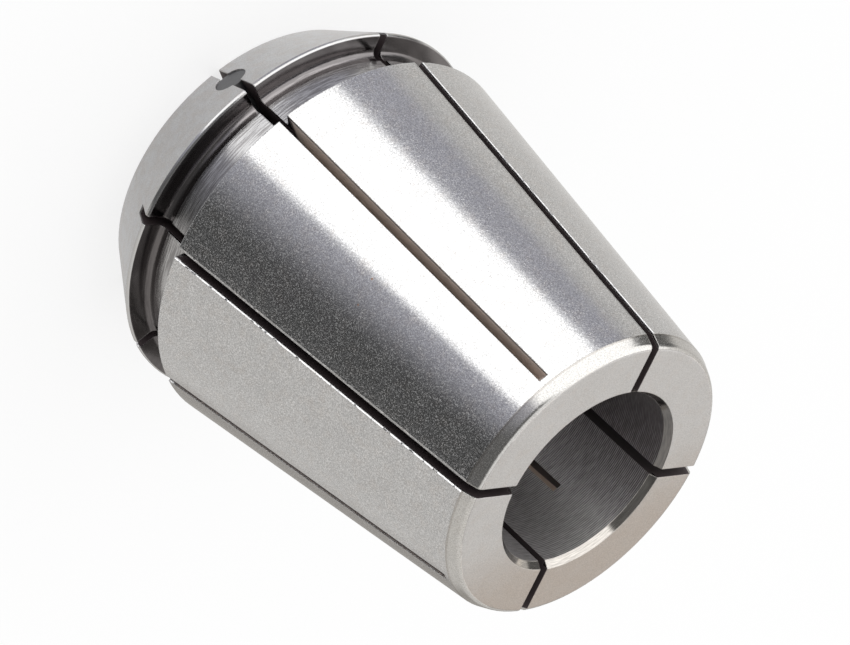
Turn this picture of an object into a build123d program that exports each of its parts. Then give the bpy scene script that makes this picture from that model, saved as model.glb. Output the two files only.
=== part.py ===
# Spring collet with an 8 degree taper, eight alternate slits and four seal pins.
# It stands on its flat front face: Z = 0 is that face, and +Z runs along the axis to the small end.
from build123d import *
from math import cos, radians, sin, sqrt, tan
import os

os.makedirs("parts", exist_ok=True)

# Driving dimensions, millimetres and degrees

length = 40.0
bore_diameter = 15.0

# Clamping taper, from its large edge behind the groove
taper_diameter = 32.6
taper_start = 9.9
taper_angle = 8.0

# Clamping cone and flange of the head: the flange's narrow rim lies a little under the taper's large edge
flange_drop = 0.16
flange_rear = 5.85
cone_angle = 30.0
flange_rim = 0.2
flange_rim_break = 0.12
front_rim_chamfer = 0.15

# Extraction groove: a floor, a shallow step up, and a leaning wall up to the taper
groove_depth = 1.79
groove_corner_round = 0.55
land_rise = 0.15
land_start = 6.65
groove_wall_lean = 18.0
groove_wall_round = 0.3

# Lead-in at the small end
lead_in_length = 1.0
lead_in_angle = 25.0
lead_in_round = 0.5

# Bore mouths
rear_mouth_depth = 0.55
rear_mouth_width = 0.4
front_mouth_chamfer = 0.6

# Saw slits: one set from the front face, the other from the small end
slit_pairs = 4
slit_width = 0.75
saw_diameter = 40.0
saw_reach = 4.5
front_slit_stop = 1.45
rear_slit_stop = 4.2
first_slit_angle = -90.0
cut_overrun = 1.0

# Seal pins across the front slits, square to the clamping cone
pin_diameter = 2.55
pin_height = 2.6
pin_recess = 0.12
pin_bore_clearance = 0.1
pin_fit = 0.01

# Derived sizes

bore_radius = bore_diameter / 2
taper_radius = taper_diameter / 2
flange_radius = taper_radius - flange_drop
groove_radius = flange_radius - groove_depth
land_radius = groove_radius + land_rise
saw_radius = saw_diameter / 2

cone_end = flange_rear - flange_rim_break - flange_rim
front_radius = flange_radius - cone_end * tan(radians(cone_angle))
wall_foot = taper_start - (taper_radius - land_radius) * tan(radians(groove_wall_lean))
lead_in_start = length - lead_in_length
lead_in_radius = taper_radius - (lead_in_start - taper_start) * tan(radians(taper_angle))
face_radius = lead_in_radius - lead_in_length * tan(radians(lead_in_angle))

slit_pitch = 360.0 / slit_pairs
front_slit_angles = [first_slit_angle + i * slit_pitch for i in range(slit_pairs)]
rear_slit_angles = [angle + slit_pitch / 2 for angle in front_slit_angles]
saw_axis_radius = bore_radius - saw_reach + saw_radius
saw_low_radius = saw_axis_radius - saw_radius

pin_seat_radius = front_radius + pin_height * tan(radians(cone_angle))
pin_reach = pin_seat_radius / cos(radians(cone_angle))


def saw_stop(radius):
    """How far the saw's rim runs on past its axis at this radius from the collet's axis."""
    return sqrt(saw_radius**2 - (saw_axis_radius - radius) ** 2)


def radial_plane(angle):
    """The plane through the collet's axis at this angle: X outwards and Y up along the axis."""
    outwards = Vector(cos(radians(angle)), sin(radians(angle)), 0)
    return Plane(origin=(0, 0, 0), x_dir=outwards, z_dir=outwards.cross(Vector(0, 0, 1)))


def pin_plane(angle):
    """The plane that touches the clamping cone where a pin's axis meets it: Z outwards."""
    outwards = Vector(cos(radians(angle)), sin(radians(angle)), 0)
    normal = outwards * cos(radians(cone_angle)) - Vector(0, 0, sin(radians(cone_angle)))
    return Plane(origin=outwards * pin_seat_radius + Vector(0, 0, pin_height), z_dir=normal)


# Collet body: the turned blank, then its slits and pin holes

front_stop_radius = taper_radius - (length - front_slit_stop - taper_start) * tan(radians(taper_angle))
rear_stop_radius = front_radius + rear_slit_stop * tan(radians(cone_angle))
front_saw_height = length - front_slit_stop - saw_stop(front_stop_radius)
rear_saw_height = rear_slit_stop + saw_stop(rear_stop_radius)

with BuildPart() as collet_body:
    with BuildSketch(Plane.XZ) as section:
        with BuildLine():
            Polyline(
                (bore_radius + front_mouth_chamfer, 0),
                (front_radius, 0),
                (flange_radius, cone_end),
                (flange_radius, flange_rear),
                (groove_radius, flange_rear),
                (groove_radius, land_start),
                (land_radius, land_start + land_rise),
                (land_radius, wall_foot),
                (taper_radius, taper_start),
                (lead_in_radius, lead_in_start),
                (face_radius, length),
                (bore_radius + rear_mouth_width, length),
                (bore_radius, length - rear_mouth_depth),
                (bore_radius, front_mouth_chamfer),
                close=True,
            )
        make_face()
        rim = section.vertices().sort_by_distance((front_radius, 0, 0))[0]
        chamfer(rim, front_rim_chamfer)
        rim_edge = section.vertices().sort_by_distance((flange_radius, flange_rear, 0))[0]
        chamfer(rim_edge, flange_rim_break)
        corner = section.vertices().sort_by_distance((groove_radius, flange_rear, 0))[0]
        fillet(corner, groove_corner_round)
        foot = section.vertices().sort_by_distance((land_radius, wall_foot, 0))[0]
        fillet(foot, groove_wall_round)
        lead_in_edge = section.vertices().sort_by_distance((face_radius, length, 0))[0]
        fillet(lead_in_edge, lead_in_round)
    revolve(axis=Axis.Z)
    for slit_angle in front_slit_angles:
        with BuildSketch(radial_plane(slit_angle)):
            with Locations((saw_axis_radius, front_saw_height)):
                Circle(saw_radius)
            with Locations((saw_low_radius, front_saw_height)):
                Rectangle(
                    saw_diameter,
                    front_saw_height + cut_overrun,
                    align=(Align.MIN, Align.MAX),
                )
        extrude(amount=slit_width / 2, both=True, mode=Mode.SUBTRACT)
    for slit_angle in rear_slit_angles:
        with BuildSketch(radial_plane(slit_angle)):
            with Locations((saw_axis_radius, rear_saw_height)):
                Circle(saw_radius)
            with Locations((saw_low_radius, rear_saw_height)):
                Rectangle(
                    saw_diameter,
                    length + cut_overrun - rear_saw_height,
                    align=(Align.MIN, Align.MIN),
                )
        extrude(amount=slit_width / 2, both=True, mode=Mode.SUBTRACT)
    for slit_angle in front_slit_angles:
        with BuildSketch(pin_plane(slit_angle).offset(cut_overrun)):
            Circle(pin_diameter / 2 + pin_fit)
        extrude(amount=-(cut_overrun + pin_reach), mode=Mode.SUBTRACT)

collet_body.part.label = "collet_body"
export_step(collet_body.part, "parts/collet_body.step")

# Seal pins: each sits just under the cone and its inner end is bored round with the collet

for number, slit_angle in enumerate(front_slit_angles, start=1):
    with BuildPart() as seal_pin:
        with BuildSketch(pin_plane(slit_angle).offset(-pin_recess)):
            Circle(pin_diameter / 2)
        extrude(amount=pin_recess - pin_reach)
        with BuildSketch(Plane.XY):
            Circle(bore_radius + pin_bore_clearance)
        extrude(amount=length, mode=Mode.SUBTRACT)
    seal_pin.part.label = f"seal_pin_{number}"
    export_step(seal_pin.part, f"parts/seal_pin_{number}.step")
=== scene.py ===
# Dresses a spring collet: ground, turned and sawn steel, its seal pins, and a studio to look at it in.
from math import cos, pi, radians, sin, tan

import bpy
from bpy.props import FloatProperty, FloatVectorProperty, PointerProperty
from mathutils import Matrix, Vector


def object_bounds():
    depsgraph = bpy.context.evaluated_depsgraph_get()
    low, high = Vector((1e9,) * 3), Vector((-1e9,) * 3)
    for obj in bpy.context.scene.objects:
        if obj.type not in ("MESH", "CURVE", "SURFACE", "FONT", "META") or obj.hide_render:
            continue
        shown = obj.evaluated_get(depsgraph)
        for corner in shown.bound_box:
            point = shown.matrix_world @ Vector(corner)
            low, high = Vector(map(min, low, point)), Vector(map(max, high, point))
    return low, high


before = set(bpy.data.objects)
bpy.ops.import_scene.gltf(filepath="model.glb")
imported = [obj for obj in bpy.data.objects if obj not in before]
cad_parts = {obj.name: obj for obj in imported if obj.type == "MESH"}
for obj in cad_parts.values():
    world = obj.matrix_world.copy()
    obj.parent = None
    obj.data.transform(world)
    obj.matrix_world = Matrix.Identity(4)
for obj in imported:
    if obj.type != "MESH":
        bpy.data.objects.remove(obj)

bl_info = {
    "name": "Spring Collet Dresser",
    "version": (1, 0, 0),
    "blender": (4, 5, 0),
    "location": "3D View > Sidebar > Collet",
    "description": "Steel finishes, seal pins and a studio for a spring collet",
    "category": "Object",
}

COLLET = "collet_body"
PINS = ["seal_pin_1", "seal_pin_2", "seal_pin_3", "seal_pin_4"]

CAD_LOW, CAD_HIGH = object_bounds()
MM = 1000.0
DEGREE = 180 / pi
WHITE = (1.0, 1.0, 1.0)

# The collet's own sizes in millimetres, and the slopes of its tapers, which the finishes follow
LENGTH = (CAD_HIGH.z - CAD_LOW.z) * MM
TAPER_RADIUS = 16.3
TAPER_START = 9.9
TAPER_SLOPE = tan(radians(8))
LEAD_IN_START = LENGTH - 1.0
LEAD_IN_RADIUS = TAPER_RADIUS - (LEAD_IN_START - TAPER_START) * TAPER_SLOPE
LEAD_IN_SLOPE = tan(radians(25))
FLANGE_RADIUS = 16.14
FLANGE_REAR = 5.85
RIM_WIDTH = 0.2
RIM_BREAK = 0.12
CONE_SLOPE = tan(radians(30))
CONE_END = FLANGE_REAR - RIM_WIDTH - RIM_BREAK
GROOVE_RADIUS = 14.35
LAND_START = 6.65
SLITS = 8
SLIT_STEP = 360 / SLITS
SLIT_HALF_WIDTH = 0.375
BORE_RADIUS = 7.5
MOUTH_DEPTH = 0.55
MOUTH_WIDTH = 0.4

# How deep under its face a finish still holds, and how softly it ends at the next face, in millimetres
SKIN = 0.15
LEAD_IN_SKIN = 0.2
GROOVE_SKIN = 0.03
FADE = 0.02

# Broken slit edges: the strip's width, its reach into the slit and its softness, all in millimetres,
# where a strip stops between two slits, and how far the broken edge leans into its slit
BROKEN_WIDTH = 0.13
BROKEN_OVERLAP = 0.05
BROKEN_SOFTNESS = 0.03
NEAREST_SLIT = (0.5, 0.2)
BROKEN_LEAN = 2.3

# How softly, in degrees, the finish changes midway between a front slit and a rear one
SLIT_CHANGE = 2.0

# Where the camera stands, in metres, and its axes: across, up and back
CAMERA_PLACE = (0.06378, -0.24116, 0.18215)
CAMERA_AXES = (
    (-0.76066, 0.20940, 0.61445),
    (-0.61222, -0.54611, -0.57179),
    (0.21582, -0.81112, 0.54360),
)


def unit(azimuth, height):
    """The direction at this azimuth from +X and this height above the floor, in degrees."""
    a, h = radians(azimuth), radians(height)
    return Vector((cos(a) * cos(h), sin(a) * cos(h), sin(h)))


def times(colour, level):
    """A colour made brighter or darker."""
    return [c * level for c in colour]


def opaque(colour):
    """A colour with the full alpha that a socket wants, unless it is a value already."""
    return colour if isinstance(colour, Value) else (*colour[:3], 1.0)


# Shader maths

# Sockets of a colour mix, by their place in the node
MIX_SHARE, MIX_FIRST, MIX_SECOND, MIX_RESULT = 0, 6, 7, 2


class Value:
    """A socket that takes part in sums: each operation adds its Math node."""

    def __init__(self, graph, socket):
        self.graph = graph
        self.socket = socket

    def maths(self, operation, first, second=0.0):
        """The result of a new Math node."""
        return self.graph.node("Math", {"operation": operation}, {0: first, 1: second})["Value"]

    def __add__(self, other):
        return self.maths("ADD", self, other)

    __radd__ = __add__

    def __sub__(self, other):
        return self.maths("SUBTRACT", self, other)

    def __rsub__(self, other):
        return self.maths("SUBTRACT", other, self)

    def __mul__(self, other):
        return self.maths("MULTIPLY", self, other)

    __rmul__ = __mul__

    def __truediv__(self, other):
        return self.maths("DIVIDE", self, other)

    def __rtruediv__(self, other):
        return self.maths("DIVIDE", other, self)

    def __abs__(self):
        return self.maths("ABSOLUTE", self)

    def low(self, other):
        """The lower of the two."""
        return self.maths("MINIMUM", self, other)

    def high(self, other):
        """The higher of the two."""
        return self.maths("MAXIMUM", self, other)

    def wave(self):
        """The sine of an angle in radians."""
        return self.maths("SINE", self)

    def root(self):
        """The square root."""
        return self.maths("SQRT", self)

    def folded(self, width):
        """Runs up to the width and back down to 0, over and over."""
        return self.maths("PINGPONG", self, width)

    def angle_from(self, along):
        """The angle, in degrees, whose sine goes with this value and whose cosine goes with the other."""
        return self.maths("ARCTAN2", self, along) * DEGREE

    def height_angle(self):
        """The height above the level, in degrees, of a direction with this rise."""
        return self.maths("ARCSINE", self) * DEGREE

    def above(self, edge, soft):
        """0 well below the edge and 1 well above it, with a smooth step as wide as soft."""
        settings = {"interpolation_type": "SMOOTHSTEP"}
        ends = {"Value": self, "From Min": edge - soft / 2, "From Max": edge + soft / 2}
        return self.graph.node("MapRange", settings, ends)["Result"]

    def below(self, edge, soft):
        """1 well below the edge and 0 well above it."""
        return 1 - self.above(edge, soft)

    def between(self, start, end, soft):
        """1 from the start to the end and 0 outside, with a smooth step at each."""
        return self.above(start, soft) * self.below(end, soft)


class Node:
    """A node whose outputs are fetched by name or place."""

    def __init__(self, graph, node):
        self.graph = graph
        self.node = node

    def __getitem__(self, name):
        return Value(self.graph, self.node.outputs[name])


class Graph:
    """The node tree of one material or world."""

    def __init__(self, owner):
        owner.use_nodes = True
        self.tree = owner.node_tree
        self.tree.nodes.clear()

    def node(self, kind, settings=None, inputs=None):
        """Adds a node of any type: its settings first, then its sockets' values or links."""
        made = self.tree.nodes.new("ShaderNode" + kind)
        for name, value in (settings or {}).items():
            setattr(made, name, value)
        for name, value in (inputs or {}).items():
            socket = made.inputs[name]
            if isinstance(value, Value):
                self.tree.links.new(value.socket, socket)
            elif isinstance(value, (int, float)):
                socket.default_value = value
            else:
                socket.default_value = tuple(value)
        return Node(self, made)

    def vector(self, operation, first, second=(0.0, 0.0, 0.0)):
        """What a Vector Math node makes of two vectors, as a vector."""
        return self.node("VectorMath", {"operation": operation}, {0: first, 1: second})["Vector"]

    def measure(self, operation, first, second):
        """What a Vector Math node makes of two vectors, as a number."""
        return self.node("VectorMath", {"operation": operation}, {0: first, 1: second})["Value"]

    def scaled(self, vector, size):
        """A vector or colour made longer or brighter by a value."""
        return self.node("VectorMath", {"operation": "SCALE"}, {0: vector, "Scale": size})["Vector"]

    def noise(self, at, scale, detail, roughness=0.5):
        """Smooth noise from 0 to 1."""
        inputs = {"Vector": at, "Scale": scale, "Detail": detail, "Roughness": roughness}
        return self.node("TexNoise", {}, inputs)["Fac"]

    def mix(self, share, first, second):
        """A colour mix: the first colour where the share is 0 and the second where it is 1."""
        inputs = {MIX_SHARE: share, MIX_FIRST: opaque(first), MIX_SECOND: opaque(second)}
        return self.node("Mix", {"data_type": "RGBA"}, inputs)[MIX_RESULT]

    def bump(self, strength, inputs):
        """A normal with relief on it; the strength is the relief's height in metres for a value of 1."""
        return self.node("Bump", {}, {"Strength": 1.0, "Distance": strength, **inputs})["Normal"]

    def end_in_metal(self, colour, roughness, metallic, normal):
        """Ends a material's tree in one Principled shader."""
        inputs = {"Base Color": colour, "Roughness": roughness, "Metallic": metallic, "Normal": normal}
        shader = self.node("BsdfPrincipled", {}, inputs)["BSDF"]
        self.node("OutputMaterial", {}, {"Surface": shader})


# Properties


def share(name, text, value):
    """A part of a whole, from 0 to 1."""
    return FloatProperty(name=name, description=text, default=value, min=0.0, max=1.0, subtype="FACTOR")


def size(name, text, metres):
    """A length, shown finely enough for a grain."""
    return FloatProperty(name=name, description=text, default=metres, min=0.0, precision=6, unit="LENGTH")


def level(name, text, value):
    """A strength, which may go past 1."""
    return FloatProperty(name=name, description=text, default=value, min=0.0)


def colour(name, text, value):
    """A colour without its alpha."""
    return FloatVectorProperty(
        name=name, description=text, default=value, size=3, min=0.0, max=1.0, subtype="COLOR"
    )


class SteelFinish(bpy.types.PropertyGroup):
    """Colours, roughness and grain of the collet's surfaces."""

    ground_colour: colour(
        "Ground Steel", "Colour of the ground taper, cone and faces", (0.60, 0.598, 0.597)
    )
    lead_in_colour: colour("Lead-In", "Colour of the lead-in at the small end", (0.62, 0.60, 0.565))
    # Painted shade along the crease where the lead-in starts
    crease_shade_colour: colour("Lead-In Line", "Colour of the line where the lead-in starts", (0.34, 0.31, 0.28))
    turned_colour: colour("Turned Steel", "Colour of the turned groove", (0.52, 0.515, 0.515))
    # Painted shade in the groove's corner, and the colour of the real turned streaks there
    corner_shade_and_streak_colour: colour("Dark Steel", "Colour of the oily corner of the groove", (0.24, 0.225, 0.225))
    # Painted shade on one side of the back of the flange
    flange_back_shade_colour: colour("Oil", "Colour of the oil on the back of the flange", (0.05, 0.045, 0.047))
    bore_colour: colour("Bore", "Colour of the bored wall beside its tool marks", (0.80, 0.78, 0.775))
    # The colour of the bore's tool marks, also used as painted shade on one side of the bore
    bore_mark_and_shade_colour: colour("Bore Marks", "Colour of the tool marks in the bore", (0.115, 0.098, 0.103))
    mouth_colour: colour("Mouth", "Colour of the bore's chamfered mouth", (0.43, 0.405, 0.375))
    mouth_mark_colour: colour("Mouth Marks", "Colour of the tool marks on the mouth", (0.58, 0.55, 0.51))
    # The colour of the mouth's darker side
    dark_mouth_colour: colour("Mouth Oil", "Colour of the mouth's oily side", (0.12, 0.115, 0.115))
    # Brown painted light on the walls of the front slits
    slit_light_colour: colour("Scale", "Colour of the brown scale in the taper's slits", (0.83, 0.755, 0.70))
    # Painted shade on the slit walls
    slit_shade_colour: colour("Sawn Steel", "Colour of the dark slit walls", (0.075, 0.058, 0.06))
    # A real brown stain on the taper, cone and small end, and also painted shade on one side of the small
    # end
    stain_and_shade_colour: colour("Stain", "Colour of the brown stain on the small end", (0.475, 0.42, 0.375))
    rust_colour: colour("Rust", "Colour of the small rust specks", (0.30, 0.14, 0.07))
    ground_roughness: share("Ground Roughness", "Roughness of the ground taper", 0.10)
    satin_roughness: share("Satin Roughness", "Roughness of the head's cone and the end face", 0.36)
    lead_in_roughness: share("Lead-In Roughness", "Roughness of the lead-in at the small end", 0.16)
    turned_roughness: share("Turned Roughness", "Roughness of the turned groove", 0.19)
    bore_roughness: share("Bore Roughness", "Roughness of the bored wall", 0.35)
    sawn_roughness: share("Sawn Roughness", "Roughness of the slit walls", 0.6)
    rust_roughness: share("Rust Roughness", "Roughness of the small rust specks", 0.5)
    sawn_metal: share("Sawn Metal", "How metallic the scaled slit walls look", 0.5)
    bore_metal: share("Bore Metal", "How metallic the bored wall looks", 0.72)
    grain_size: size("Grain Size", "Width of a grain of the ground taper", 0.00011)
    grain_lean: level("Grain Lean", "How far the grains lean", 0.009)
    grain_spread: level("Grain Spread", "How much rougher the roughest grains are", 0.16)
    grain_tone: level("Grain Tone", "How far the grains differ in brightness", 2.2)
    grain_matt: share("Grain Matt", "How much of the mattest grains isn't a mirror", 0.26)
    grain_depth: size("Grain Depth", "Depth of the ground taper's grain", 0.000002)
    sawn_depth: size("Sawn Depth", "Depth of the grain on the slit walls", 0.00001)
    face_depth: size("Face Depth", "Depth of the tool marks on the end face", 0.000001)
    turned_depth: size("Turned Depth", "Depth of the tool marks in the groove", 0.000006)
    ring_pitch: size("Ring Pitch", "Distance between the tool marks in the bore", 0.00016)
    ring_depth: size("Ring Depth", "Depth of the tool marks in the bore", 0.000015)
    edge_round: size("Edge Rounding", "Radius of the small rounding on every sharp edge", 0.00011)


class PinFinish(bpy.types.PropertyGroup):
    """Finish of the seal pins."""

    pin_colour: colour("Pin Colour", "Colour of the seal pins", (0.18, 0.18, 0.183))
    pin_roughness: share("Pin Roughness", "Roughness of the seal pins", 0.45)
    pin_grain_depth: size("Pin Grain Depth", "Depth of the seal pins' grain", 0.000004)


class Studio(bpy.types.PropertyGroup):
    """Floor, light and camera."""

    floor_colour: colour("Floor", "Colour of the floor", (0.985, 0.985, 0.985))
    floor_glow: share("Floor Glow", "Share of the floor's white that doesn't come from the light", 0.78)
    floor_size: size("Floor Size", "Width of the floor", 4.0)
    plain_level: level("Plain Light", "Strength of the plain white light", 1.0)
    room_level: level("Room Light", "Strength of the dim side of the room in the steel", 0.09)
    room_rise: level("Room Rise", "How many times as strong the dim side is higher up", 1.7)
    overhead_level: level("Overhead Light", "Strength of the white overhead in the steel", 1.0)
    ground_level: level("Ground Light", "Strength of the ground under the collet in the steel", 0.67)
    ground_slope: level("Ground Slope", "What the ground gains on its bright side", 0.42)
    softbox_level: level("Softbox", "Strength of the softbox in the steel", 1.72)
    softbox_rise: level("Softbox Rise", "How many times as strong the softbox is in its low band", 1.2)
    halo_level: level("Softbox Halo", "Strength of the glow beside the softbox", 0.52)
    halo_colour: colour("Halo Colour", "Colour of the glow beside the softbox", (0.9, 0.9, 1.0))
    backdrop_level: level("Backdrop Light", "Strength of the white backdrop in the steel", 0.73)
    backdrop_rise: level("Backdrop Rise", "How many times as strong the backdrop is higher up", 1.16)
    backdrop_colour: colour("Backdrop Colour", "Colour of the backdrop", (1.0, 0.98, 0.95))
    wing_level: level("Wing Light", "Strength of the paler wing beside the softbox", 0.66)
    wing_colour: colour("Wing Colour", "Colour of the paler wing", (1.0, 0.985, 0.97))
    table_level: level("Table Edge Light", "Strength of the dim brown table edge in the steel", 0.38)
    table_colour: colour("Table Edge Colour", "Colour of the dim table edge", (1.0, 0.95, 0.89))
    lens: FloatProperty(name="Lens", description="Focal length", default=170.0, min=1.0, unit="CAMERA")


# Where a point lies


class Surface:
    """Where a point of the collet lies, as values in millimetres, for masks and tool marks."""

    def __init__(self, graph):
        self.graph = graph
        self.at = graph.vector("MULTIPLY", graph.node("TexCoord")["Object"], (MM, MM, MM))
        parts = graph.node("SeparateXYZ", {}, {0: self.at})
        self.x, self.y, self.z = parts["X"], parts["Y"], parts["Z"]
        self.r = (self.x * self.x + self.y * self.y).root()
        self.turn = self.y.angle_from(self.x)

    def in_skin(self, radius, height, slope, skin):
        """1 in the skin of a cone with this radius at this height, which narrows by slope on the way up."""
        return (self.r + (self.z - height) * slope).above(radius - skin, skin / 2)

    def towards(self, azimuth):
        """How far a point lies from the axis towards this side, in millimetres."""
        return self.graph.measure("DOT_PRODUCT", self.at, unit(azimuth, 0))

    def near(self, azimuth, height, radius, width):
        """1 inside a small ragged spot on the surface and 0 outside it."""
        a = radians(azimuth)
        spot = (radius * cos(a), radius * sin(a), height)
        gap = self.graph.measure("DISTANCE", self.at, spot)
        ragged = self.graph.noise(self.at, *SPECK_NOISE) - 0.5
        return (gap + ragged * width * SPECK_RAGGED).below(width, width)

    def in_front_slit(self):
        """1 by the four slits that start from the front face and 0 by the other four."""
        return (self.turn + 360).folded(SLIT_STEP).below(SLIT_STEP / 2, SLIT_CHANGE)

    def side_of_slit(self):
        """How far past the middle of the nearest slit a point lies, in millimetres."""
        return (self.turn * (SLITS / DEGREE)).wave() * self.r / SLITS

    def by_slit_edge(self, width):
        """1 on a band this wide along the edges of the slits."""
        by_slit = (self.turn * (SLITS / DEGREE) + pi / 2).wave().above(*NEAREST_SLIT)
        gap = abs(self.side_of_slit())
        start, end = SLIT_HALF_WIDTH - BROKEN_OVERLAP, SLIT_HALF_WIDTH + width
        return gap.between(start, end, BROKEN_SOFTNESS) * by_slit

    def turn_direction(self):
        """The direction of the turn about the axis at a point."""
        inputs = {"X": 0 - self.y / self.r, "Y": self.x / self.r}
        return self.graph.node("CombineXYZ", {}, inputs)["Vector"]

    def rings(self, along, pitch, spread):
        """Tool marks across a value, broken along the turn of the lathe."""
        inputs = {"X": along / pitch, "Y": self.turn * spread}
        lie = self.graph.node("CombineXYZ", {}, inputs)["Vector"]
        return self.graph.noise(lie, *RING_NOISE)

    def facets(self, width, lean):
        """Small facets, each leaning its own way: what a normal gains from them."""
        inputs = {"Vector": self.at, "Scale": 1 / width}
        cells = self.graph.node("TexVoronoi", {"feature": "F1"}, inputs)["Color"]
        either_way = self.graph.vector("SUBTRACT", cells, (0.5, 0.5, 0.5))
        return self.graph.scaled(either_way, lean)


class Faces:
    """Which of the collet's faces a point lies on: each value is 1 there and 0 elsewhere."""

    def __init__(self, surface):
        z, r = surface.z, surface.r
        taper_skin = surface.in_skin(TAPER_RADIUS, TAPER_START, TAPER_SLOPE, SKIN)
        self.taper = taper_skin * z.between(TAPER_START - FADE, LEAD_IN_START, FADE)
        lead_in_skin = surface.in_skin(LEAD_IN_RADIUS, LEAD_IN_START, LEAD_IN_SLOPE, LEAD_IN_SKIN)
        self.lead_in = lead_in_skin * z.between(LEAD_IN_START, LENGTH - FADE / 2, FADE)
        self.end = z.above(LENGTH - FADE, FADE)
        cone_skin = surface.in_skin(FLANGE_RADIUS, CONE_END, -CONE_SLOPE, SKIN)
        self.cone = cone_skin * z.below(CONE_END, FADE)
        rim_skin = r.above(FLANGE_RADIUS - RIM_BREAK - FADE, FADE)
        self.rim = rim_skin * z.between(CONE_END, FLANGE_REAR - FADE / 2, FADE)
        groove_skin = r.above(GROOVE_RADIUS - GROOVE_SKIN, FADE)
        self.groove = groove_skin * z.between(FLANGE_REAR - FADE, TAPER_START - FADE, FADE)
        self.bore = r.below(BORE_RADIUS + FADE, FADE)
        mouth_ring = r.below(BORE_RADIUS + MOUTH_WIDTH + FADE, FADE)
        self.mouth = z.above(LENGTH - MOUTH_DEPTH - FADE / 2, FADE) * mouth_ring
        front = z.below(FADE, FADE)
        finished = self.taper.high(self.lead_in).high(self.end).high(self.cone).high(self.rim)
        finished = finished.high(self.groove).high(self.bore).high(self.mouth).high(front)
        self.sawn = 1 - finished
        self.ground = (self.taper + self.rim).low(1.0)
        self.satin = (self.cone + self.end).low(1.0)
        self.turned = (self.groove + self.bore).low(1.0)

    def grained(self, taper, lead_in, satin):
        """How much of a grain a point takes, from the shares of the taper, lead-in and satin faces."""
        return self.taper * taper + self.lead_in * lead_in + self.satin * satin


# Finishes

# Noise: waves in a millimetre where the grain's size doesn't give them, then detail and roughness
MOTTLE_NOISE = (1.1, 3.0, 0.6)
BLOTCH_NOISE = (0.35, 3.0, 0.55)
WEAR_NOISE = (1.6, 3.0)
SPECK_NOISE = (7.0, 3.0)
PIN_NOISE = (6.0, 3.0)
RING_NOISE = (1.0, 2.0, 0.6)
FINE_GRAIN = (2.0, 0.7)
DENSE_GRAIN = (2.0, 0.75)
DENSE_GRAIN_SCALE = 1.05
SPECK_RAGGED = 1.5

# Levels of the noise where each kind of patch or mark starts, and how softly
GRIT_EDGE = (0.57, 0.22)
WORN_EDGE = (0.42, 0.2)
BLOTCH_EDGE = (0.5, 0.5)
WARM_EDGE = (0.58, 0.3)
CONE_STAIN_EDGE = (0.45, 0.4)
STREAK_EDGE = (0.5, 0.16)
RING_EDGE = (0.5, 0.3)
PIN_GRAIN_EDGE = (0.5, 0.6)

# Grit: its strength all over, and what the mottle adds to it
GRIT_LEAST = 0.35
GRIT_MOTTLE = 1.1

# How much of each kind of grain the taper, the lead-in and the satin faces take
LEAN_SHARES = (1.0, 2.0, 1.5)
TONE_SHARES = (1.0, 0.5, 0.35)
ROUGH_SHARES = (1.0, 0.4, 0.3)
MATT_SHARES = (1.0, 0.3, 0.0)
TURNED_LEAN = 1.5
GRIT_LEAN = 2.5
SATIN_RELIEF = 0.4
LEAD_IN_RELIEF = 0.3
DARKEST_GRAIN = -0.2

# How far a colour covers what is under it
WARM_SHARE = 0.2
LEAD_IN_SHARE = 0.6
CONE_STAIN_SHARE = 0.22
SHADED_END_SHARE = 0.55
SHADED_END_MOTTLE = 0.4
STAIN_EVERYWHERE = 0.2
FLANGE_BACK_SHADE_SHARE = 0.6
STREAK_SHARE = 0.6
EVEN_RINGS = 0.7
BROKEN_RINGS = 0.3
RING_SHARE = 0.8
BORE_SHADE_SHARE = 0.55
DARKEST_BORE = 0.96
DARK_MOUTH_SHARE = 0.75
DARK_MOUTH_RINGS = 0.2
CREASE_SHADE_SHARE = 0.45
RUST_SHARE = 0.8

# How bright a shade of a colour is against the colour itself
BLOTCH_SHADE = 0.95
WARM_SHADE = 1.12
SHADED_CORNER_LEVEL = 0.88
LIT_CORNER_LEVEL = 1.35
STREAK_SHADE = 0.7
PIN_SHADE = 0.85

# Tool marks: their pitch in millimetres, and how often they break in a degree of the turn
GROOVE_MARKS = (0.09, 0.16)
FACE_MARKS = (0.12, 0.07)
BORE_MARKS = (0.07, 0.15)
STREAK_MARKS = (0.12, 0.12)
MOUTH_MARKS = (0.06, 0.1)

# Sides of the collet where painted shade, painted light and a darker patch lie, as azimuths in degrees
SHADED_END_SIDE = 70
LIT_CORNER_SIDE = -110
SHADED_BACK_SIDE = 20
DARK_MOUTH_SIDE = 165
SHADED_BORE_SIDE = -155

# How far towards its side each starts, and how softly, in millimetres
SHADED_END_REACH = (4.0, 9.0)
LIT_CORNER_REACH = (9.5, 4.0)
SHADED_BACK_REACH = (6.5, 3.0)
DARK_MOUTH_REACH = (6.4, 1.2)
SHADED_BORE_REACH = (0.5, 9.0)

# Heights, in millimetres, and how softly each starts
CORNER_TOP = (LAND_START + 0.1, 0.3)
FLANGE_BACK_TOP = (FLANGE_REAR + 0.25, 0.3)
LIT_SLIT_START = (TAPER_START + 0.3, 0.5)
LEAD_IN_CREASE_SHADE = (LEAD_IN_START - 0.04, LEAD_IN_START + 0.12, 0.1)

# How deep in the front slits the painted light lies: its start, end and softness in millimetres
LIT_SLIT_DEPTH = (0.3, 4.0, 0.3)

# Rust specks: azimuth in degrees, then height, radius and width in millimetres
RUST_SPECKS = (
    (-75.4, 24.1, 14.3, 0.09),
    (-67.3, 24.6, 14.23, 0.08),
)


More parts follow.
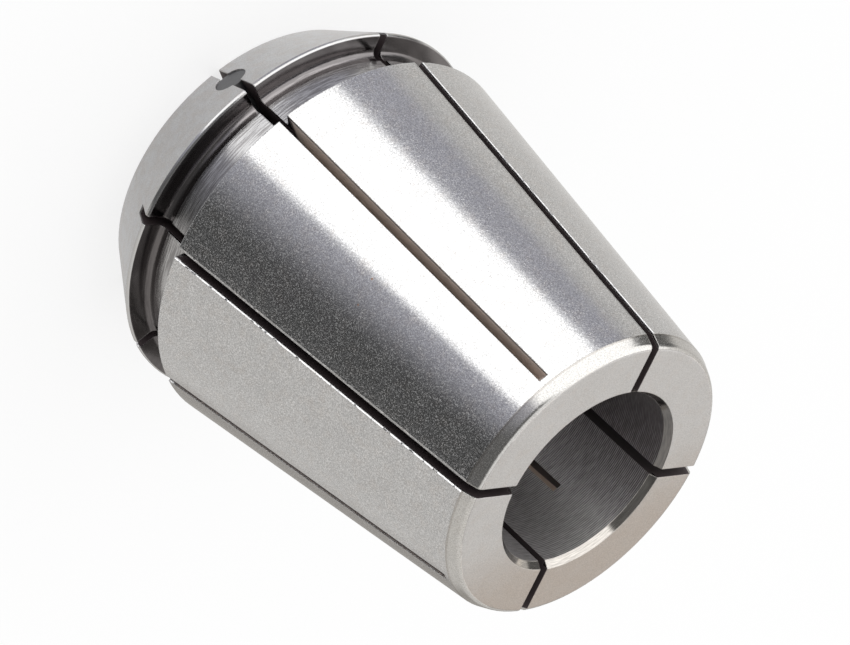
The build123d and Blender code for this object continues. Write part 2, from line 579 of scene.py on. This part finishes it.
class BodyFinish:
    """The finish of the collet's body, which changes from face to face."""

    def __init__(self, graph, steel):
        self.graph = graph
        self.steel = steel
        self.surface = Surface(graph)
        self.face = Faces(self.surface)
        self.grain = steel.grain_size * MM
        self.mottle = graph.noise(self.surface.at, *MOTTLE_NOISE)
        self.fine = graph.noise(self.surface.at, 1 / self.grain, *FINE_GRAIN)
        self.grit = self.fine.above(*GRIT_EDGE) * (self.mottle * GRIT_MOTTLE + GRIT_LEAST)
        first, second = (self.surface.near(*speck) for speck in RUST_SPECKS)
        self.specks = first.high(second)
        self.bore_wave = (self.surface.z * (2 * pi / (steel.ring_pitch * MM))).wave() * 0.5

    def relief(self):
        """The height of the grain and the tool marks, in millimetres."""
        surface, face, steel = self.surface, self.face, self.steel
        groove_marks = surface.rings(surface.z, *GROOVE_MARKS)
        face_marks = surface.rings(surface.r, *FACE_MARKS)
        bore_marks = self.bore_wave + surface.rings(surface.z, *BORE_MARKS)
        return (
            self.fine * (face.ground + face.satin * SATIN_RELIEF) * (steel.grain_depth * MM)
            + groove_marks * (face.groove + face.lead_in * LEAD_IN_RELIEF) * (steel.turned_depth * MM)
            + face_marks * face.end * (steel.face_depth * MM)
            + bore_marks * face.bore * (steel.ring_depth * MM)
            + self.fine * face.sawn * (steel.sawn_depth * MM)
        )

    def normal(self):
        """Rounded edges, some of them broken along the slits, with leaning grains and the relief."""
        graph, surface, face, steel = self.graph, self.surface, self.face, self.steel
        rounded = graph.node("Bevel", {"samples": 4}, {"Radius": steel.edge_round})["Normal"]
        worn = graph.noise(surface.at, *WEAR_NOISE).above(*WORN_EDGE)
        broken = surface.by_slit_edge(BROKEN_WIDTH) * worn * face.taper * (1 - surface.in_front_slit())
        into_slit = surface.side_of_slit() * broken * -BROKEN_LEAN
        rounded = graph.vector("ADD", rounded, graph.scaled(surface.turn_direction(), into_slit))
        leaning = face.grained(*LEAN_SHARES) + face.turned * TURNED_LEAN
        leaning = leaning + face.taper * self.grit * GRIT_LEAN
        facets = surface.facets(self.grain, steel.grain_lean)
        grained = graph.vector("NORMALIZE", graph.vector("ADD", rounded, graph.scaled(facets, leaning)))
        return graph.bump(1 / MM, {"Height": self.relief(), "Normal": grained})

    def colour(self):
        """The steel's colour: each step lays one face, one kind of wear or some painted light and shade
        over the last.
        """
        base = self.ground_steel()
        base = self.end_face(base)
        base = self.groove(base)
        base = self.bore(base)
        base = self.slits(base)
        return self.grain_and_rust(base)

    def ground_steel(self):
        """Ground steel with soft blotches, warmer on the lead-in and in patches of the cone."""
        mix, face, steel = self.graph.mix, self.face, self.steel
        blotch = self.graph.noise(self.surface.at, *BLOTCH_NOISE).above(*BLOTCH_EDGE)
        base = mix(blotch, times(steel.ground_colour, BLOTCH_SHADE), steel.ground_colour)
        warm = self.mottle.above(*WARM_EDGE) * WARM_SHARE
        base = mix(warm, base, times(steel.stain_and_shade_colour, WARM_SHADE))
        base = mix(face.lead_in * LEAD_IN_SHARE, base, steel.lead_in_colour)
        patches = self.mottle.above(*CONE_STAIN_EDGE) * CONE_STAIN_SHARE
        return mix(face.cone * patches, base, steel.stain_and_shade_colour)

    def end_face(self, base):
        """A brown stain all over the small end, with painted shade in the stain's colour heaviest on one
        side.
        """
        # Painted shade: the small end turns darker and browner towards one side, over a brown stain all
        # over it
        shaded_end_side = self.surface.towards(SHADED_END_SIDE).above(*SHADED_END_REACH)
        stain_and_shade = (shaded_end_side * (SHADED_END_SHARE + self.mottle * SHADED_END_MOTTLE) + STAIN_EVERYWHERE).low(1.0)
        return self.graph.mix(self.face.end * stain_and_shade, base, self.steel.stain_and_shade_colour)

    def groove(self, base):
        """The turned groove: a corner in painted shade with painted light on one side, painted shade on one
        side of the flange back, and streaks.
        """
        mix, surface, face, steel = self.graph.mix, self.surface, self.face, self.steel
        base = mix(face.turned, base, steel.turned_colour)
        # Painted shade in the groove's corner, with painted light on the side that faces the softbox
        lit_corner = surface.towards(LIT_CORNER_SIDE).above(*LIT_CORNER_REACH) * surface.z.above(*FLANGE_BACK_TOP)
        shaded_corner = times(steel.corner_shade_and_streak_colour, SHADED_CORNER_LEVEL)
        corner = mix(lit_corner, shaded_corner, times(steel.corner_shade_and_streak_colour, LIT_CORNER_LEVEL))
        base = mix(face.groove * surface.z.below(*CORNER_TOP), base, corner)
        # Painted shade: the back of the flange is painted near-black on the side where it lies in shade
        dimmer = surface.towards(SHADED_BACK_SIDE).above(*SHADED_BACK_REACH)
        shaded_flange_back = face.groove * surface.z.below(*FLANGE_BACK_TOP) * dimmer
        base = mix(shaded_flange_back * FLANGE_BACK_SHADE_SHARE, base, steel.flange_back_shade_colour)
        streaks = surface.rings(surface.z, *STREAK_MARKS).above(*STREAK_EDGE) * face.groove
        return mix(streaks * STREAK_SHARE, base, times(steel.corner_shade_and_streak_colour, STREAK_SHADE))

    def bore(self, base):
        """The bored wall with its fine dark rings and painted shade on one side, and the chamfered mouth,
        darker on one side.
        """
        mix, surface, face, steel = self.graph.mix, self.surface, self.face, self.steel
        broken_rings = surface.rings(surface.z, *STREAK_MARKS).above(*RING_EDGE)
        rings = (self.bore_wave + 0.5) * EVEN_RINGS + broken_rings * BROKEN_RINGS
        # Painted shade: one side of the bore is darkened with the tool marks' colour
        dark = surface.towards(SHADED_BORE_SIDE).above(*SHADED_BORE_REACH)
        marks = (rings * RING_SHARE + dark * BORE_SHADE_SHARE).low(DARKEST_BORE)
        base = mix(face.bore, base, steel.bore_colour)
        base = mix(marks * face.bore, base, steel.bore_mark_and_shade_colour)
        # The mouth is darker towards one side, more so along its rings
        dimmer = surface.towards(DARK_MOUTH_SIDE).above(*DARK_MOUTH_REACH)
        mouth_rings = surface.rings(surface.r, *MOUTH_MARKS).above(*RING_EDGE)
        mouth = mix(mouth_rings, steel.mouth_colour, steel.mouth_mark_colour)
        dimming = dimmer * (DARK_MOUTH_SHARE + mouth_rings * DARK_MOUTH_RINGS)
        mouth = mix(dimming, mouth, steel.dark_mouth_colour)
        return mix(face.mouth, base, mouth)

    def slits(self, base):
        """Slit walls in painted shade, with brown painted light on the walls of the front slits, and a line
        of painted shade where the lead-in starts.
        """
        mix, surface, face, steel = self.graph.mix, self.surface, self.face, self.steel
        depth = TAPER_RADIUS - surface.r - (surface.z - TAPER_START) * TAPER_SLOPE
        # Painted light, brown, on the front slits' walls (the mask scaled), and painted shade on all other
        # slit walls
        scaled = surface.z.above(*LIT_SLIT_START) * surface.in_front_slit() * depth.between(*LIT_SLIT_DEPTH)
        base = mix(face.sawn, base, mix(scaled, steel.slit_shade_colour, steel.slit_light_colour))
        # Painted shade: a thin dark ring along the crease where the lead-in starts
        line = surface.z.between(*LEAD_IN_CREASE_SHADE) * (1 - face.bore) * (1 - face.sawn)
        return mix(line * CREASE_SHADE_SHARE, base, steel.crease_shade_colour)

    def grain_and_rust(self, base):
        """Grains that are lighter and darker than their neighbours, and the rust specks."""
        graph, steel = self.graph, self.steel
        dense = graph.noise(self.surface.at, DENSE_GRAIN_SCALE / self.grain, *DENSE_GRAIN)
        tone = (dense - 0.5) * self.face.grained(*TONE_SHARES) * steel.grain_tone
        base = graph.scaled(base, 1 + tone.high(DARKEST_GRAIN))
        return graph.mix(self.specks * RUST_SHARE, base, steel.rust_colour)

    def roughness(self):
        """The roughness of each face, with rougher grains on the ground ones."""
        face, steel = self.face, self.steel
        ground = steel.ground_roughness
        return (
            ground
            + self.grit * face.grained(*ROUGH_SHARES) * steel.grain_spread
            + face.lead_in * (steel.lead_in_roughness - ground)
            + face.satin * (steel.satin_roughness - ground)
            + face.turned * (steel.turned_roughness - ground)
            + face.bore * (steel.bore_roughness - steel.turned_roughness)
            + face.sawn * (steel.sawn_roughness - ground)
            + self.specks * (steel.rust_roughness - ground)
        )

    def metallic(self):
        """Metal all over, less so in the bore, on the scaled walls and on the mattest grains."""
        face, steel = self.face, self.steel
        metal = 1 - face.sawn * (1 - steel.sawn_metal) - face.bore * (1 - steel.bore_metal)
        return metal - self.grit * face.grained(*MATT_SHARES) * steel.grain_matt


def dress_collet(steel):
    """The one material of the collet's body."""
    material = bpy.data.materials.new("ground_steel")
    graph = Graph(material)
    body = BodyFinish(graph, steel)
    graph.end_in_metal(body.colour(), body.roughness(), body.metallic(), body.normal())
    return material


def dress_pins(finish):
    """Dull dark steel with a faint grain."""
    material = bpy.data.materials.new("pin_steel")
    graph = Graph(material)
    grain = graph.noise(Surface(graph).at, *PIN_NOISE)
    darker = times(finish.pin_colour, PIN_SHADE)
    base = graph.mix(grain.above(*PIN_GRAIN_EDGE), darker, finish.pin_colour)
    normal = graph.bump(finish.pin_grain_depth, {"Height": grain})
    graph.end_in_metal(base, finish.pin_roughness, 1.0, normal)
    return material


def give(material, names):
    """Puts a material on CAD nodes, in place of what they came with."""
    for name in names:
        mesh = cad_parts[name].data
        mesh.materials.clear()
        mesh.materials.append(material)


# Studio

# Sides of the room that the steel mirrors: azimuth from +X and height above the floor, in degrees
BACKDROP_SIDE = (69.8, -6.9)
BRIGHT_GROUND_SIDE = (135, 0)
SOFTBOX_FAR_SIDE = (-174.0, -14.8)
SOFTBOX_NEAR_SIDE = (-72.4, 49.3)
HALO_SIDE = (-90, 0)

# How far a ray leans to its side where each starts, and how softly: 1 is straight at the side
BACKDROP_EDGE = (0.055, 0.1)
SOFTBOX_FAR_EDGE = (0.0, 0.1)
SOFTBOX_NEAR_EDGE = (-0.02, 0.07)
HALO_FAR_EDGE = (-0.28, 0.44)
HALO_EDGE = (0.21, 0.2)

# Heights in the room where each starts, and how softly, in degrees
HIGH_ROOM = (6, 20)
HIGH_BACKDROP = (18, 20)
OVERHEAD = (62, 16)
GROUND = (-42, 18)
HALO_TOP = (27, 16)
SOFTBOX_LOW_BAND = (-29, -9, 6)

# Windows in the room: azimuth of the middle, width, lowest and highest height, and softness, in degrees
BACKDROP_WINDOW = (165, 46, -90, -8, 10)
WING_WINDOW = (-154, 44, -90, -8, 10)
TABLE_WINDOW = (84, 40, -40, -6, 22)


def make_floor(studio):
    """A plain pale floor that keeps the collet's shadow."""
    half = studio.floor_size / 2
    corners = [(-half, -half, 0), (half, -half, 0), (half, half, 0), (-half, half, 0)]
    mesh = bpy.data.meshes.new("floor")
    mesh.from_pydata(corners, [], [(0, 1, 2, 3)])
    floor = bpy.data.objects.new("floor", mesh)
    bpy.context.collection.objects.link(floor)
    floor.visible_glossy = False
    material = bpy.data.materials.new("floor_white")
    graph = Graph(material)
    matt = graph.node("BsdfDiffuse", {}, {"Color": opaque(studio.floor_colour)})["BSDF"]
    glow = graph.node("Emission", {}, {"Color": opaque(WHITE), "Strength": 1.0})["Emission"]
    mixed = graph.node("MixShader", {}, {0: studio.floor_glow, 1: matt, 2: glow})["Shader"]
    graph.node("OutputMaterial", {}, {"Surface": mixed})
    mesh.materials.append(material)


class Room:
    """The direction that a ray leaves in, for laying the room out round the collet."""

    def __init__(self, graph):
        self.graph = graph
        self.towards = graph.node("TexCoord")["Generated"]
        parts = graph.node("SeparateXYZ", {}, {0: self.towards})
        self.x, self.y = parts["X"], parts["Y"]
        self.height = parts["Z"].height_angle()

    def lean(self, azimuth, height):
        """How far a ray leans to the side that lies this way: 1 straight at it and 0 square to it."""
        return self.graph.measure("DOT_PRODUCT", self.towards, unit(azimuth, height))

    def window(self, azimuth, width, low, high, soft):
        """1 where a ray leaves through this window of the room, with soft edges, all in degrees."""
        along = self.x * cos(radians(azimuth)) + self.y * sin(radians(azimuth))
        across = self.y * cos(radians(azimuth)) - self.x * sin(radians(azimuth))
        return abs(across.angle_from(along)).below(width / 2, soft) * self.height.between(low, high, soft)


def room_in_steel(graph, studio):
    """The room that the steel mirrors: dim, with a backdrop, an overhead, a softbox and the ground."""
    room = Room(graph)
    mix = graph.mix
    low_backdrop = times(studio.backdrop_colour, studio.backdrop_level)
    high_backdrop = times(studio.backdrop_colour, studio.backdrop_level * studio.backdrop_rise)
    backdrop = mix(room.height.above(*HIGH_BACKDROP), low_backdrop, high_backdrop)
    low_room = times(WHITE, studio.room_level)
    high_room = times(WHITE, studio.room_level * studio.room_rise)
    light = mix(room.height.above(*HIGH_ROOM), low_room, high_room)
    light = mix(room.lean(*BACKDROP_SIDE).above(*BACKDROP_EDGE), light, backdrop)
    light = mix(room.height.above(*OVERHEAD), light, times(WHITE, studio.overhead_level))
    light = mix(room.window(*BACKDROP_WINDOW), light, low_backdrop)
    light = mix(room.window(*WING_WINDOW), light, times(studio.wing_colour, studio.wing_level))
    ground = room.lean(*BRIGHT_GROUND_SIDE) * studio.ground_slope + studio.ground_level
    light = mix(room.height.below(*GROUND), light, graph.scaled(WHITE, ground))
    light = mix(room.window(*TABLE_WINDOW), light, times(studio.table_colour, studio.table_level))
    far_side = room.lean(*SOFTBOX_FAR_SIDE)
    halo = far_side.above(*HALO_FAR_EDGE) * room.height.below(*HALO_TOP)
    halo = halo * room.lean(*HALO_SIDE).above(*HALO_EDGE)
    light = mix(halo, light, times(studio.halo_colour, studio.halo_level))
    near_side = room.lean(*SOFTBOX_NEAR_SIDE)
    softbox = far_side.above(*SOFTBOX_FAR_EDGE) * near_side.above(*SOFTBOX_NEAR_EDGE)
    plain_white = times(WHITE, studio.softbox_level)
    strong_white = times(WHITE, studio.softbox_level * studio.softbox_rise)
    white = mix(room.height.between(*SOFTBOX_LOW_BAND), plain_white, strong_white)
    return mix(softbox, light, white)


def make_light(studio):
    """Plain white light on everything, and for the steel a room to mirror."""
    world = bpy.data.worlds.new("studio")
    bpy.context.scene.world = world
    graph = Graph(world)
    in_steel = graph.node("LightPath")["Is Glossy Ray"]
    seen = graph.mix(in_steel, times(WHITE, studio.plain_level), room_in_steel(graph, studio))
    background = graph.node("Background", {}, {"Color": seen, "Strength": 1.0})["Background"]
    graph.node("OutputWorld", {}, {"Surface": background})
    world.cycles.sampling_method = "NONE"


def make_camera(studio):
    """The photograph's point of view."""
    data = bpy.data.cameras.new("camera")
    data.lens = studio.lens
    camera = bpy.data.objects.new("camera", data)
    bpy.context.collection.objects.link(camera)
    turn = Matrix(CAMERA_AXES).transposed().to_4x4()
    camera.matrix_world = Matrix.Translation(CAMERA_PLACE) @ turn
    bpy.context.scene.camera = camera


# Operators, panel and registration


class COLLET_OT_body(bpy.types.Operator):
    """Give the collet's body its ground, turned and sawn steel"""

    bl_idname = "collet.body"
    bl_label = "Dress the Body"

    def execute(self, context):
        give(dress_collet(context.scene.collet_steel), [COLLET])
        return {"FINISHED"}


class COLLET_OT_pins(bpy.types.Operator):
    """Give the seal pins their dull dark steel"""

    bl_idname = "collet.pins"
    bl_label = "Dress the Seal Pins"

    def execute(self, context):
        give(dress_pins(context.scene.collet_pins), PINS)
        return {"FINISHED"}


class COLLET_OT_stage(bpy.types.Operator):
    """Lay the floor, light the room and place the camera"""

    bl_idname = "collet.stage"
    bl_label = "Build the Studio"

    def execute(self, context):
        studio = context.scene.collet_studio
        make_floor(studio)
        make_light(studio)
        make_camera(studio)
        context.scene.view_settings.view_transform = "Standard"
        return {"FINISHED"}


class COLLET_PT_panel(bpy.types.Panel):
    """Lists the steps that dress the collet, and what they can be changed by"""

    bl_label = "Spring Collet"
    bl_idname = "COLLET_PT_panel"
    bl_space_type = "VIEW_3D"
    bl_region_type = "UI"
    bl_category = "Collet"

    def draw(self, context):
        for step in STEPS:
            self.layout.operator(step.bl_idname)
        for name in PROPERTIES:
            group = getattr(context.scene, name)
            box = self.layout.box()
            for field in group.__annotations__:
                box.prop(group, field)


STEPS = (COLLET_OT_body, COLLET_OT_pins, COLLET_OT_stage)
PROPERTIES = {
    "collet_steel": SteelFinish,
    "collet_pins": PinFinish,
    "collet_studio": Studio,
}


def register():
    """Adds the groups, operators and panel."""
    for group in PROPERTIES.values():
        bpy.utils.register_class(group)
    for name, group in PROPERTIES.items():
        setattr(bpy.types.Scene, name, PointerProperty(type=group))
    for step in STEPS:
        bpy.utils.register_class(step)
    bpy.utils.register_class(COLLET_PT_panel)


def unregister():
    """Takes them out again, the last first."""
    bpy.utils.unregister_class(COLLET_PT_panel)
    for step in reversed(STEPS):
        bpy.utils.unregister_class(step)
    for name, group in PROPERTIES.items():
        delattr(bpy.types.Scene, name)
        bpy.utils.unregister_class(group)


def main():
    """Dresses the collet and builds the studio."""
    register()
    bpy.ops.collet.body()
    bpy.ops.collet.pins()
    bpy.ops.collet.stage()


if __name__ == "__main__":
    main()
